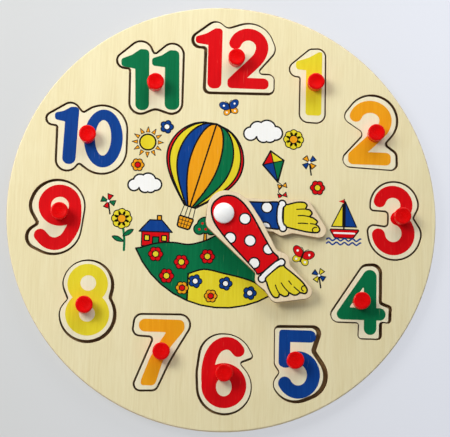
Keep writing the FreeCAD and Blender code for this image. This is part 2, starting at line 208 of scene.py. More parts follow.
def print_film(name, coats, level, body, within=None):
    """A thin closed film of ink on a face. Each coat is an ink, its shapes and, if another
    shape cuts them off, that shape. A later coat covers an earlier one, and the coat "bare"
    leaves the wood open. The film ends at the outline given as within."""
    drawn = [shape for _, shapes, *_ in coats for shape in shapes]
    if within:
        drawn.append(within)
    points, edges = [], []
    for shape in drawn:
        first = len(points)
        points += [Vector(p) for p in shape]
        edges += [(n, n + 1) for n in range(first, len(points) - 1)] + [(len(points) - 1, first)]
    corners, _, triangles, *_ = delaunay_2d_cdt(points, edges, [], 0, SAME_POINT, False)
    middles = np.array([sum((corners[n] for n in t), Vector((0, 0))) / 3 for t in triangles])
    coat_of = np.full(len(triangles), -1)
    for order, (_, shapes, *limits) in enumerate(coats):
        for shape in shapes:
            covered = spots_inside(shape, middles)
            for limit in limits:
                covered = np.intersect1d(covered, spots_inside(limit, middles))
            coat_of[covered] = order
    if within:
        kept = spots_inside(within, middles)
        coat_of[np.setdiff1d(np.arange(len(triangles)), kept)] = -1

    inks = []
    covers = []
    for triangle, order in zip(triangles, coat_of):
        ink = coats[order][0] if order >= 0 else "bare"
        if ink != "bare":
            if ink not in inks:
                inks.append(ink)
            covers.append((anticlockwise_triangle(triangle, corners), inks.index(ink)))

    mesh = bpy.data.meshes.new(name)
    build = bmesh.new()
    upper = {}
    lower = {}
    for triangle, _ in covers:
        for n in triangle:
            if n not in upper:
                x, y = corners[n]
                upper[n] = build.verts.new((x * MM, y * MM, (level + FILM_RISE) * MM))
                lower[n] = build.verts.new((x * MM, y * MM, (level - FILM_SINK) * MM))
    edge_uses = {}
    for triangle, ink in covers:
        top = build.faces.new([upper[n] for n in triangle])
        bottom = build.faces.new([lower[n] for n in reversed(triangle)])
        top.material_index = bottom.material_index = ink
        for a, b in zip(triangle, list(triangle[1:]) + [triangle[0]]):
            edge_uses.setdefault(frozenset((a, b)), []).append((a, b, ink))
    for uses in edge_uses.values():
        if len(uses) == 1:
            a, b, ink = uses[0]
            wall = build.faces.new((upper[b], upper[a], lower[a], lower[b]))
            wall.material_index = ink
    build.to_mesh(mesh)
    build.free()
    film = new_object(name, mesh)
    for ink in inks:
        mesh.materials.append(INKS[ink])
    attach(film, body)


FILM_RISE = 0.04
FILM_SINK = 0.02
SAME_POINT = 0.001


# Node tools

def add(tree, kind, values=None, **settings):
    """A node with its settings and the values of its unlinked sockets."""
    node = tree.nodes.new(kind)
    for key, value in settings.items():
        setattr(node, key, value)
    for key, value in (values or {}).items():
        node.inputs[key].default_value = value
    return node


def join(tree, *pairs):
    """Links each (output, input) pair."""
    for source, target in pairs:
        tree.links.new(source, target)


def feed(tree, *pairs):
    """Gives each (socket, value) pair's socket a link or a plain value, or leaves it."""
    for socket, value in pairs:
        if isinstance(value, bpy.types.NodeSocket):
            tree.links.new(value, socket)
        elif value is not None:
            socket.default_value = value


def sums(tree, operation, a, b=None, c=None, kind="ShaderNodeMath"):
    """A maths node on sockets or numbers, and its result."""
    node = add(tree, kind, operation=operation)
    feed(tree, *zip(node.inputs, (a, b, c)))
    return node.outputs[0]


def vectors(tree, operation, a, b):
    """A maths node on vectors, and its result."""
    return sums(tree, operation, a, b, kind="ShaderNodeVectorMath")


def blended(tree, factor, a, b):
    """A mix of two colours by a socket or a number, and its result."""
    node = add(tree, "ShaderNodeMix", data_type="RGBA")
    feed(tree, (node.inputs[0], factor), (node.inputs[6], a), (node.inputs[7], b))
    return node.outputs[2]


def ramp(tree, value, low, high, start=0.0, end=1.0):
    """Spreads a value from one range over another, and stays within it."""
    node = add(tree, "ShaderNodeMapRange", {1: low, 2: high, 3: start, 4: end}, clamp=True)
    tree.links.new(value, node.inputs[0])
    return node.outputs[0]


def noise(tree, place, scale, detail, **values):
    """The outputs of a noise at a place."""
    node = add(tree, "ShaderNodeTexNoise", {"Detail": detail, **values})
    feed(tree, (node.inputs["Vector"], place), (node.inputs["Scale"], scale))
    return node.outputs


def new_group(name, kind_of_tree, inputs, outputs):
    """An empty node group with named sockets, its input node and its output node."""
    tree = bpy.data.node_groups.new(name, kind_of_tree)
    for label, kind, value in inputs:
        socket = tree.interface.new_socket(label, in_out="INPUT", socket_type=kind)
        if value is not None:
            socket.default_value = value
    for label, kind in outputs:
        tree.interface.new_socket(label, in_out="OUTPUT", socket_type=kind)
    return tree, tree.nodes.new("NodeGroupInput").outputs, tree.nodes.new("NodeGroupOutput").inputs


def darker(color, share):
    """A colour at a share of its brightness."""
    return tuple(share * c for c in color[:3]) + (1.0,)


def linear(red, green, blue):
    """A colour as it looks on the screen, from 0 to 255, as the shader's own numbers."""
    def one(value):
        share = value / 255
        return share / 12.92 if share <= 0.04045 else ((share + 0.055) / 1.055) ** 2.4
    return (one(red), one(green), one(blue), 1.0)


FLOAT, COLOR, VECTOR = "NodeSocketFloat", "NodeSocketColor", "NodeSocketVector"
SHAPE, FINISH = "NodeSocketGeometry", "NodeSocketMaterial"


def make_grain_group():
    """Birch grain: fine fibres along Y, a broad figure and small pores."""
    tree, given, result = new_group(
        "birch_grain", "ShaderNodeTree",
        [("Vector", VECTOR, None), ("Fibres per Metre", FLOAT, 900.0), ("Figure", FLOAT, 0.5)],
        [("Tone", FLOAT), ("Fibre", FLOAT), ("Height", FLOAT)])
    waver = vectors(tree, "MULTIPLY", noise(tree, given["Vector"], 14.0, 2.0)["Color"], (0.006, 0.0, 0.006))
    bent = vectors(tree, "ADD", given["Vector"], waver)
    stretched = vectors(tree, "MULTIPLY", bent, (1.0, 0.035, 1.0))
    fibre = noise(tree, stretched, given["Fibres per Metre"], 3.0, Roughness=0.6)[0]
    figure = noise(tree, stretched, 70.0, 4.0, Roughness=0.55)[0]
    cloud = noise(tree, given["Vector"], 16.0, 2.0)[0]
    pores = noise(tree, stretched, sums(tree, "MULTIPLY", given["Fibres per Metre"], 2.4), 1.0)[0]
    broad = sums(tree, "MULTIPLY_ADD", ramp(tree, figure, 0.35, 0.68), 0.65,
                 sums(tree, "MULTIPLY", ramp(tree, cloud, 0.3, 0.7), 0.35))
    fine = ramp(tree, fibre, 0.3, 0.72)
    pore = ramp(tree, pores, 0.66, 0.78)
    mixed = sums(tree, "ADD", sums(tree, "MULTIPLY", broad, given["Figure"]),
                 sums(tree, "MULTIPLY", fine, sums(tree, "SUBTRACT", 1.0, given["Figure"])))
    join(tree, (sums(tree, "SUBTRACT", mixed, sums(tree, "MULTIPLY", pore, 0.25)), result["Tone"]),
         (fine, result["Fibre"]),
         (sums(tree, "SUBTRACT", fine, sums(tree, "MULTIPLY", pore, 0.8)), result["Height"]))
    return tree


def make_cut_group():
    """Where a sheet is cut: a mask of its side walls, and the plies that show there."""
    tree, given, result = new_group(
        "cut_sheet", "ShaderNodeTree",
        [("Vector", VECTOR, None), ("Normal", VECTOR, None), ("Ply", FLOAT, 0.001)],
        [("Side", FLOAT), ("Layer", FLOAT), ("Soot", FLOAT)])
    place = add(tree, "ShaderNodeSeparateXYZ")
    facing = add(tree, "ShaderNodeSeparateXYZ")
    join(tree, (given["Vector"], place.inputs[0]), (given["Normal"], facing.inputs[0]))
    side = ramp(tree, sums(tree, "ABSOLUTE", facing.outputs[2]), 0.55, 0.93, 1.0, 0.0)
    count = sums(tree, "DIVIDE", place.outputs[2], given["Ply"])
    layer = ramp(tree, sums(tree, "PINGPONG", count, 1.0), 0.35, 0.65)
    patch = noise(tree, given["Vector"], 160.0, 3.0)[0]
    soot = ramp(tree, patch, 0.3, 0.65)
    join(tree, (side, result["Side"]), (layer, result["Layer"]), (soot, result["Soot"]))
    return tree


def make_plastic_group():
    """Moulded plastic: a faint unevenness of tone, gloss and face, and fine rubs."""
    tree, given, result = new_group(
        "moulded_plastic", "ShaderNodeTree",
        [("Vector", VECTOR, None), ("Color", COLOR, None), ("Deep Color", COLOR, None),
         ("Roughness", FLOAT, 0.2)],
        [("Color", COLOR), ("Roughness", FLOAT), ("Height", FLOAT)])
    swell = noise(tree, given["Vector"], 260.0, 2.0)[0]
    rub = noise(tree, given["Vector"], 1500.0, 4.0, Distortion=1.5)[0]
    worn = ramp(tree, rub, 0.55, 0.75)
    rough = sums(tree, "MULTIPLY_ADD", worn, 0.16, given["Roughness"])
    tone = ramp(tree, swell, 0.35, 0.7)
    join(tree, (blended(tree, tone, given["Color"], given["Deep Color"]), result["Color"]),
         (rough, result["Roughness"]),
         (sums(tree, "MULTIPLY_ADD", worn, -0.3, tone), result["Height"]))
    return tree


BIRCH_GRAIN = make_grain_group()
CUT_SHEET = make_cut_group()
MOULDED_PLASTIC = make_plastic_group()


def new_material(name, **shader_values):
    """A material with one Principled shader, and its tree, shader and object coordinates."""
    material = bpy.data.materials.new(name)
    material.use_nodes = True
    tree = material.node_tree
    tree.nodes.clear()
    shader = add(tree, "ShaderNodeBsdfPrincipled")
    for key, value in shader_values.items():
        shader.inputs[key.replace("_", " ")].default_value = value
    output = add(tree, "ShaderNodeOutputMaterial")
    place = add(tree, "ShaderNodeTexCoord")
    join(tree, (shader.outputs[0], output.inputs[0]))
    return material, tree, shader, place


def use_group(tree, group, values=None, **links):
    """A group node in a material, with its values and links by socket name."""
    node = add(tree, "ShaderNodeGroup", node_tree=group)
    for key, value in (values or {}).items():
        node.inputs[key].default_value = value
    for key, source in links.items():
        tree.links.new(source, node.inputs[key])
    return node.outputs


def raise_grain(tree, shader, height, depth, strength):
    """Bumps the shader's face by a height, up to a depth in metres."""
    bump = add(tree, "ShaderNodeBump", {"Distance": depth, "Strength": strength})
    join(tree, (height, bump.inputs["Height"]), (bump.outputs[0], shader.inputs["Normal"]))


def wood(name, pale, deep, burnt, figure, clean_rim=None, upper=None):
    """Varnished birch plywood with dark cut walls. Beyond clean_rim from the centre the
    cut is sanded, and shows its plies. Its upward faces may take another colour: painted
    shade, for slot floors that lie in shadow."""
    material, tree, shader, place = new_material(name, Specular_IOR_Level=0.35, Coat_Weight=0.08,
                                                 Coat_Roughness=0.3)
    spot = place.outputs["Object"]
    grain = use_group(tree, BIRCH_GRAIN, {"Figure": figure}, Vector=spot)
    cut = use_group(tree, CUT_SHEET, {"Ply": PLY_THICKNESS * MM}, Vector=spot, Normal=place.outputs["Normal"])
    face = blended(tree, ramp(tree, grain["Tone"], 0.15, 0.85), pale, deep)
    # Painted shade: upward faces take the darker upper colour, as the shadow on the slots' floors.
    if upper:
        facing = add(tree, "ShaderNodeSeparateXYZ")
        join(tree, (place.outputs["Normal"], facing.inputs[0]))
        shaded_face = blended(tree, grain["Tone"], upper, darker(upper, 0.7))
        face = blended(tree, sums(tree, "GREATER_THAN", facing.outputs[2], 0.5), face, shaded_face)
    plies = blended(tree, cut["Layer"], PLY_PALE, PLY_DEEP)
    char = blended(tree, cut["Soot"], burnt, darker(burnt, 0.45))
    if clean_rim:
        away = add(tree, "ShaderNodeVectorMath", operation="LENGTH")
        join(tree, (vectors(tree, "MULTIPLY", spot, (1.0, 1.0, 0.0)), away.inputs[0]))
        sanded = sums(tree, "GREATER_THAN", away.outputs["Value"], clean_rim * MM)
        wall = blended(tree, sanded, char, plies)
    else:
        wall = blended(tree, ramp(tree, cut["Layer"], 0.0, 1.0, 0.75, 1.0), plies, char)
    join(tree, (blended(tree, cut["Side"], face, wall), shader.inputs["Base Color"]),
         (sums(tree, "MULTIPLY_ADD", cut["Side"], 0.25, ramp(tree, grain["Fibre"], 0.0, 1.0, 0.5, 0.4)),
          shader.inputs["Roughness"]))
    raise_grain(tree, shader, grain["Height"], depth=0.00004, strength=0.6)
    return material


def printed_ink(name, color, deep, worn):
    """Screen printed ink, thin enough for the wood's grain to show through it."""
    material, tree, shader, place = new_material(name, Specular_IOR_Level=0.16)
    spot = place.outputs["Object"]
    grain = use_group(tree, BIRCH_GRAIN, {"Figure": 0.35}, Vector=spot)
    thin = ramp(tree, grain["Tone"], 0.2, 0.8, 0.0, 0.6)
    pores = ramp(tree, grain["Height"], -0.4, 0.0, 1.0, 0.0)
    body = blended(tree, thin, color, deep)
    join(tree, (blended(tree, sums(tree, "MULTIPLY", pores, 0.12), body, worn), shader.inputs["Base Color"]),
         (ramp(tree, grain["Fibre"], 0.0, 1.0, 0.46, 0.36), shader.inputs["Roughness"]))
    raise_grain(tree, shader, grain["Height"], depth=0.00003, strength=0.5)
    return material


def plastic(name, color, deep, roughness, shine):
    """Moulded plastic."""
    material, tree, shader, place = new_material(name, Specular_IOR_Level=shine)
    skin = use_group(tree, MOULDED_PLASTIC, {"Color": color, "Deep Color": deep, "Roughness": roughness},
                     Vector=place.outputs["Object"])
    join(tree, (skin["Color"], shader.inputs["Base Color"]), (skin["Roughness"], shader.inputs["Roughness"]))
    raise_grain(tree, shader, skin["Height"], depth=0.00002, strength=0.35)
    return material


PLY_THICKNESS = 1.0
BURNT_EDGE = linear(150, 106, 60)
PLY_PALE = linear(246, 230, 190)
PLY_DEEP = linear(214, 180, 128)

SANDED_FROM = board_radius - 2

front_birch = wood("front_birch", linear(247, 235, 190), linear(237, 222, 171), BURNT_EDGE,
                   figure=0.4, clean_rim=SANDED_FROM)
# The back board's upward faces show only at the slots' floors; their upper colour is painted shade.
back_birch = wood("back_birch", linear(236, 220, 180), linear(220, 196, 148), BURNT_EDGE,
                  figure=0.6, clean_rim=SANDED_FROM, upper=linear(192, 150, 96))
number_birch = wood("number_birch", linear(250, 242, 208), linear(243, 231, 192), linear(156, 114, 66),
                    figure=0.45)
hand_birch = wood("hand_birch", linear(250, 232, 196), linear(236, 210, 168), linear(176, 134, 84),
                  figure=0.5)
red_plastic = plastic("red_plastic", linear(240, 3, 4), linear(224, 2, 2), roughness=0.24, shine=0.25)
white_plastic = plastic("white_plastic", linear(255, 255, 252), linear(255, 253, 248), roughness=0.3,
                        shine=0.3)
nylon = plastic("nylon", linear(232, 228, 214), linear(222, 216, 200), roughness=0.38, shine=0.5)

BARE_SHOWS = (228, 208, 168)
# Each ink's colour, its colour over dark grain, and what shows at its pores.
INK_TONES = {
    "red": ((226, 4, 14), (206, 1, 9), BARE_SHOWS),
    "blue": ((10, 68, 148), (4, 50, 126), BARE_SHOWS),
    "green": ((0, 118, 70), (0, 96, 56), BARE_SHOWS),
    "orange": ((248, 168, 24), (236, 148, 10), BARE_SHOWS),
    "yellow": ((238, 220, 48), (226, 202, 30), BARE_SHOWS),
    "white": ((255, 254, 250), (250, 248, 240), (240, 232, 212)),
    "black": ((18, 15, 16), (11, 9, 11), (70, 60, 50)),
}
INKS = {ink: printed_ink(ink + "_ink", *(linear(*t) for t in tones)) for ink, tones in INK_TONES.items()}

NODE_FINISH = {
    "front_board": front_birch,
    "back_board": back_birch,
    "hour_hand": hand_birch,
    "minute_hand": hand_birch,
    "pivot_cap": white_plastic,
}
for node in ("pivot_post", "board_washer", "hand_washer"):
    NODE_FINISH[node] = nylon
for hour in HOURS:
    NODE_FINISH[f"number_{hour}"] = number_birch
    NODE_FINISH[f"peg_{hour}"] = red_plastic
for node, finish in NODE_FINISH.items():
    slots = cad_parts[node].data.materials
    slots.clear()
    slots.append(finish)


# Printed numbers

def figure_one(foot_left, foot_right, shoulder, crown, tip_high, tip_low, armpit, foot_round=4.4,
               shoulder_round=3.6):
    """A figure one: a stem, and a flag to its left whose upper edge is a little hollow."""
    hollow = Vector(crown).lerp(Vector(tip_high), 0.45)
    return [rounded([
        (*foot_left, foot_round),
        (*foot_right, foot_round),
        (*shoulder, shoulder_round),
        (*crown, 2.5),
        (hollow.x, hollow.y - FLAG_HOLLOW, 6.0),
        (*tip_high, 2.2),
        (*tip_low, 2.2),
        (*armpit, 0.4),
    ])]


def figure_two(x, y, width, height, slope, foot):
    """A figure two about its bowl's centre: bowl, slope to the lower left, and foot."""
    bowl = arc(x, y, width, height, 163, -18)
    return stroke(bowl[:-1] + smooth([bowl[-1]] + slope), TWO_HALF_WIDTH) + [rounded(foot)]


FLAG_HOLLOW = 1.1
TWO_HALF_WIDTH = 4.38
NUMBER_PRINTS = {
    1: [("yellow", figure_one((-1.1, -21.6), (10.2, -21.6), (10.2, 24.8), (7.8, 24.8), (-8.6, 17.3),
                              (-8.3, 11.6), (-1.1, 11.2), 2.2, 2.0))],
    2: [("orange", figure_two(0.2, 9.0, 10.85, 9.75, [(9.2, 2.9), (6.5, -0.3), (1.1, -5.8), (-9.3, -15.8)],
                              [(-15.3, -23.3, 3.4), (15.0, -23.3, 3.4), (15.0, -14.2, 3.4),
                               (-1.0, -14.2, 0.4), (-6.0, -8.0, 0.4), (-9.6, -10.0, 1.5),
                               (-15.3, -15.6, 3.0)]))],
    3: [("red", stroke(arc(-1.2, 11.3, 9.6, 9.4, 166, -72), 4.3)
         + stroke(arc(-0.8, -8.9, 10.5, 10.9, 76, -172), 4.65))],
    4: [("green", [rounded([(-19.6, -12.6, 3.8), (11.3, -12.6, 0.5), (11.3, 33.7, 4.8)])]
         + stroke([(5.0, -8.3), (13.6, -8.3)], 4.3)
         + stroke([(7.1, -8.0), (7.1, -18.4)], 4.4)),
        ("bare", [rounded([(-7.6, -4.1, 0.5), (2.5, -4.1, 0.5), (2.5, 11.2, 0.5)])])],
    5: [("blue", [rounded([(-14.0, 15.0, 0.5), (11.5, 15.0, 4.0), (11.5, 23.4, 4.0), (-14.0, 23.4, 2.2)]),
                  rounded([(-14.1, -2.4, 3.6), (-7.0, -2.4, 3.6), (-6.2, 2.5, 1), (-6.2, 20, 1),
                           (-14.1, 20, 1)])]
         + stroke([(-9.2, 1.6)] + arc(-0.4, -7.5, 10.6, 11.8, 112, -150), 4.5))],
    6: [("red", stroke(smooth([(8.9, 16.2), (5.2, 19.9), (-0.2, 20.9), (-5.9, 18.0), (-9.9, 11.4),
                               (-11.6, 3.0), (-11.6, -5.0)]), 4.4)
         + [disc(-0.4, -8.1, 15.4, 64)]),
        ("bare", [oval(-0.4, -8.9, 5.4, 6.5)])],
    7: [("orange", [rounded([(-15.6, 14.0, 4.2), (3.4, 14.0, 0.6), (-3.0, 4.0, 4), (-7.4, -4.0, 8),
                             (-12.9, -19.0, 6), (-13.2, -22.8, 3.2), (-3.4, -22.8, 3.4), (1.2, -7.0, 12),
                             (6.7, 4.1, 12), (15.8, 15.8, 4.5), (15.6, 22.8, 3.8), (-15.6, 22.8, 4.2)])])],
    8: [("yellow", [disc(-0.1, 11.4, 13.9, 64), disc(0.4, -9.2, 15.1, 64)]),
        ("bare", [disc(0.3, 12.0, 5.4), disc(0.2, -9.2, 5.5)])],
    9: [("red", stroke(smooth([(12.5, 8.0), (12.5, -2.5), (10.4, -9.4), (6.2, -15.8), (0.2, -18.8),
                               (-5.8, -17.6), (-10.7, -13.1)]), 4.4)
         + [oval(1.9, 8.3, 14.7, 14.5, 64)]),
        ("bare", [disc(2.0, 8.0, 6.2)])],
    10: [("blue", figure_one((-16.4, -18.9), (-7.2, -18.9), (-5.7, 22.1), (-11.4, 22.1), (-22.7, 17.5),
                             (-22.4, 12.6), (-15.4, 11.4), 4.4, 4.2)
          + [oval(11.8, 0.3, 13.5, 20.7)]),
         ("bare", [oval(11.6, 0.7, 5.6, 12.7)])],
    11: [("green", figure_one((-9.4, -23.8), (0.1, -23.8), (-1.0, 20.5), (-7.2, 20.5), (-20.5, 12.9),
                              (-20.3, 7.6), (-10.5, 6.0))
          + figure_one((11.1, -22.7), (21.5, -22.7), (20.2, 20.6), (13.6, 20.6), (1.1, 14.1),
                       (1.3, 8.9), (10.4, 8.0)))],
    12: [("red", figure_one((-18.6, -22.9), (-8.7, -22.9), (-8.7, 21.1), (-13.8, 21.1), (-27.8, 14.5),
                            (-27.7, 9.9), (-18.7, 8.6), 4.2, 2.8)
          + figure_two(9.9, 8.0, 9.8, 9.5, [(18.1, 2.0), (15.8, -1.3), (9.9, -7.6), (2.6, -14.9)],
                       [(-4.4, -22.2, 3.2), (24.8, -22.2, 3.6), (24.8, -14.2, 3.6), (8.4, -14.2, 0.4),
                        (3.4, -8.8, 0.4), (0.6, -10.9, 1.5), (-4.4, -16.0, 2.8)]))],
}


def middle_of(node):
    """The middle of a node's box, seen from above."""
    low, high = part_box(node)
    return (low.x + high.x) / 2 / MM, (low.y + high.y) / 2 / MM


for hour in HOURS:
    x, y = middle_of(f"number_{hour}")
    print_film(f"number_{hour}_print", placed_coats(NUMBER_PRINTS[hour], x, y), face_height, f"lift_{hour}")


# Printed hands

def top_outline(node):
    """The outline of a sheet's flat upper face, as one loop of points."""
    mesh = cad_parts[node].data
    copy = bmesh.new()
    copy.from_mesh(mesh)
    bmesh.ops.remove_doubles(copy, verts=copy.verts, dist=1e-7)
    level = max(v.co.z for v in copy.verts)
    flat = [f for f in copy.faces if f.normal.z > FACING_UP and abs(f.verts[0].co.z - level) < SAME_LEVEL]
    inside = set(flat)
    step = {}
    for f in flat:
        for loop in f.loops:
            if not any(other in inside for other in loop.edge.link_faces if other is not f):
                step[loop.vert.index] = loop.link_loop_next.vert.index
    spots = {v.index: (v.co.x / MM, v.co.y / MM) for v in copy.verts}
    copy.free()
    loops = []
    while step:
        at = next(iter(step))
        ring = []
        while at in step:
            ring.append(spots[at])
            at = step.pop(at)
        loops.append(ring)
    longest = max(loops, key=lambda ring: max(p[0] for p in ring) - min(p[0] for p in ring))
    thinned = [longest[0]]
    for p in longest[1:]:
        if math.dist(p, thinned[-1]) > OUTLINE_STEP:
            thinned.append(p)
    return thinned


FACING_UP = 0.9999
SAME_LEVEL = 1e-6
OUTLINE_STEP = 0.4
CUFF_HALF = 1.45
CUFF_END = 1.95
CREASE_HALF = 0.42
SPOT_RING = 1.0


def cuff_coats(path):
    """A white cuff along a path, with full round ends and a dark line all round."""
    path = smooth(path)
    coats = []
    for ink, more in (("black", LINE_WIDTH), ("white", 0)):
        ends = [disc(*path[end], CUFF_END + more) for end in (0, -1)]
        coats.append((ink, stroke(path, CUFF_HALF + more) + ends))
    return coats


def glove_coats(outline, creases, nail):
    """A yellow glove: its outline, the creases between its fingers and the thumb's nail."""
    outline = smooth(outline, closed=True, steps=4)
    folds = [smooth(crease) for crease in creases] + [arc(*nail)]
    return outlined("yellow", outline) + [("black", strokes(folds, CREASE_HALF))]


def sleeve_coats(ink, outline, spots):
    """A sleeve with white spots, each in a dark ring, cut off by its dark outline."""
    outline = smooth(outline, closed=True, steps=4)
    coats = [(ink, [outline])]
    for x, y, radius in spots:
        coats.append(("black", [disc(x, y, radius + SPOT_RING)], outline))
        coats.append(("white", [disc(x, y, radius)], outline))
    return coats + [("black", outline_of(outline, HALF_LINE))]


minute_coats = sleeve_coats(
    "red",
    [(33.0, -36.6), (25.0, -41.7), (21.7, -38.0), (13.7, -29.7), (5.0, -20.8), (0.7, -16.0), (-2.3, -12.3),
     (-5.0, -8.7), (-7.1, -4.7), (-8.3, -0.7), (-8.5, 3.0), (-7.3, 6.7), (-5.0, 9.3), (-1.7, 11.7),
     (3.0, 12.7), (7.7, 11.9), (11.7, 9.3), (15.0, 6.0), (18.3, 1.7), (21.7, -3.7), (28.3, -15.3),
     (34.3, -25.3), (38.6, -30.2)],
    [(14.9, -3.3, 3.4), (5.0, -17.1, 3.4), (18.8, -18.5, 3.4), (22.0, -34.1, 3.3), (31.7, -24.0, 3.2)])
minute_coats += glove_coats(
    [(30.4, -43.6), (40.8, -35.0), (44.0, -36.8), (50.0, -41.3), (55.5, -46.0), (58.6, -50.2), (58.9, -52.6),
     (57.4, -54.1), (54.3, -53.6), (52.0, -55.1), (49.6, -55.3), (46.7, -54.0), (45.8, -55.9), (43.2, -56.5),
     (40.1, -55.2), (39.4, -57.0), (37.4, -57.6), (35.0, -56.2), (32.6, -52.0), (31.0, -47.5)],
    [[(37.0, -48.9), (38.0, -51.6), (40.1, -55.2)], [(41.0, -47.3), (43.2, -50.4), (46.6, -53.8)],
     [(46.2, -45.7), (48.0, -48.0)], [(50.0, -49.8), (52.0, -51.5), (54.4, -53.4)]],
    (57.2, -50.6, 2.1, 1.9, 70, 250))
minute_coats += cuff_coats([(27.6, -44.8), (29.8, -41.6), (37.6, -34.4), (40.8, -32.9)])
print_film("minute_hand_print", minute_coats, minute_top, "minute",
           within=top_outline("minute_hand"))

hour_coats = sleeve_coats(
    "blue",
    [(39.4, 9.4), (28.0, 9.5), (16.0, 9.4), (8.0, 9.3), (2.0, 9.2), (-3.5, 8.2), (-7.4, 4.6), (-8.8, 0.0),
     (-7.6, -4.4), (-3.8, -7.8), (2.0, -8.8), (12.0, -8.6), (29.0, -8.3), (40.0, -8.6), (40.4, 0.0)],
    [(30.3, 6.0, 3.3), (29.5, -8.2, 3.3), (16.5, 3.2, 3.3), (12.0, -8.4, 3.3), (3.0, 8.6, 3.2)])
hour_coats += glove_coats(
    [(42.2, -6.6), (42.2, 7.3), (45.0, 8.5), (48.0, 9.5), (52.0, 10.5), (56.4, 10.4), (58.4, 8.6),
     (57.6, 5.9), (60.2, 5.4), (62.0, 3.0), (60.6, 0.5), (63.0, -0.3), (65.9, -2.8), (64.9, -4.7),
     (66.6, -6.2), (67.6, -8.6), (65.6, -10.5), (59.0, -10.3), (51.0, -8.8), (45.0, -7.5)],
    [[(51.3, 5.4), (54.5, 5.7), (57.6, 5.8)], [(52.3, 1.0), (56.0, 1.1), (60.6, 0.5)],
     [(52.5, -4.4), (56.0, -4.3), (59.0, -4.4)], [(61.0, -4.3), (65.0, -4.8)]],
    (64.6, -8.8, 2.1, 2.0, 70, 235))
hour_coats += cuff_coats([(41.0, 8.9), (39.6, 5.0), (39.7, -3.6), (41.8, -8.1)])
print_film("hour_hand_print", hour_coats, hour_top, "hour", within=top_outline("hour_hand"))


# Printed picture in the middle of the board

def balloon_half_width(height, radius, neck):
    """Half the balloon's width at a height above its widest place."""
    if height >= 0:
        return radius * math.sqrt(max(0.0, 1 - (height / radius) ** 2))
    return neck + (radius - neck) * math.cos(math.pi / 2 * height / (BALLOON_DROP * radius))


BALLOON_DROP = 1.3
BALLOON_NECK = 4.0
GORES = ("red", "yellow", "blue", "orange", "orange", "green", "yellow", "red")


def balloon(x, y, radius, lean):
    """A striped hot-air balloon with its basket, leaning by degrees."""
    levels = [radius * (1 - (1 + BALLOON_DROP) * k / 40) for k in range(41)]

    def seam(share):
        return [(share * balloon_half_width(t, radius, BALLOON_NECK), t) for t in levels]

    shares = [math.sin(math.pi * (k / len(GORES) - 0.5)) for k in range(len(GORES) + 1)]
    coats = []
    for k, ink in enumerate(GORES):
        coats.append((ink, [seam(shares[k]) + seam(shares[k + 1])[::-1][:-1]]))
    coats.append(("black", strokes([seam(share) for share in shares], HALF_LINE)))
    foot = -BALLOON_DROP * radius
    ropes = [[(side * BALLOON_NECK, foot), (side * 4.6, foot - 8)] for side in (-1, -0.3, 0.3, 1)]
    coats.append(("black", strokes(ropes, 0.3)))
    coats.append(("black", stroke([(-BALLOON_NECK, foot), (BALLOON_NECK, foot)], HALF_LINE)))
    basket = rounded([(-5.2, foot - 8, 1), (-4.3, foot - 16, 1.6), (4.3, foot - 16, 1.6), (5.2, foot - 8, 1)])
    coats += outlined("orange", basket)
    weave = [[(-4.8, foot - d), (4.8, foot - d)] for d in (10.6, 13.2)]
    weave += [[(side * 2.2, foot - 8.4), (side * 1.9, foot - 15.6)] for side in (-1, 0, 1)]
    coats.append(("black", strokes(weave, 0.25)))
    return placed_coats(coats, x, y, lean)


def cloud(x, y, size):
    """A white cloud with a dark outline."""
    puffs = [(-9, -1, 4.2), (-4, 2.4, 5.0), (2.6, 3.0, 5.6), (8.6, 0.0, 4.4), (0, -2.2, 4.2),
             (4.6, -2.2, 4.0)]
    return [(ink, [disc(x + size * a, y + size * b, size * r + more, 36) for a, b, r in puffs])
            for ink, more in (("black", LINE_WIDTH), ("white", 0))]


def kite(x, y, size, lean):
    """A kite in four colours with bows on its tail."""
    top, bottom = (0, 11 * size), (0, -13 * size)
    left, middle, right = ((across * size, 2 * size) for across in (-8, 0, 8))
    coats = [("red", [[top, left, middle]]), ("yellow", [[top, middle, right]]),
             ("blue", [[middle, left, bottom]]), ("green", [[middle, bottom, right]])]
    tail = smooth([bottom, (2.4, -16.5 * size), (-1.2, -20 * size), (1.0, -23.5 * size)])
    lines = outline_of([top, right, bottom, left], HALF_LINE)
    lines += stroke([top, bottom], LINE_WIDTH / 3) + stroke([left, right], LINE_WIDTH / 3)
    lines += stroke(tail, 0.3)
    coats.append(("black", lines))
    for ink, (u, v) in zip(("orange", "red"), (tail[6], tail[-1])):
        bow = [(u, v), (u - 3, v + 1.8), (u - 3, v - 1.8), (u, v), (u + 3, v - 1.8), (u + 3, v + 1.8)]
        coats += outlined(ink, bow[:3], 0.3) + outlined(ink, bow[3:], 0.3)
    return placed_coats(coats, x, y, lean)


def butterfly(x, y, size, lean, upper, lower):
    """A butterfly with two pairs of wings."""
    wings = ((lower, 3.2, -3.0, 3.2, 2.4, -40), (upper, 4.2, 2.6, 4.6, 3.0, 35))
    coats = []
    for side in (-1, 1):
        for ink, a, b, wide, high, turn in wings:
            wing = placed(oval(0, 0, wide, high), side * a, b, side * turn)
            coats.append(("black", outline_of(wing, HALF_LINE)))
            coats.append((ink, [wing]))
            coats.append(("white", [disc(side * a * 1.15, b * 1.15, 0.9, 16)]))
    lines = stroke([(0, 3.4), (0, -4.2)], 0.7)
    for side in (-1, 1):
        lines += stroke(smooth([(0, 3.2), (side * 1.2, 5.4), (side * 2.8, 6.6)]), 0.25)
    coats.append(("black", lines))
    return placed_coats(coats, x, y, lean, size)


def sun(x, y, radius):
    """A sun with pointed rays."""
    face = disc(x, y, radius, 40)
    ray = [(radius + 1.6, -1.3), (radius + 5.4, 0), (radius + 1.6, 1.3)]
    rays = [placed(ray, x, y, turn) for turn in range(0, 360, 30)]
    lines = outline_of(face, HALF_LINE) + [line for ray in rays for line in outline_of(ray, 0.25)]
    return [("yellow", [face]), ("orange", rays), ("black", lines)]


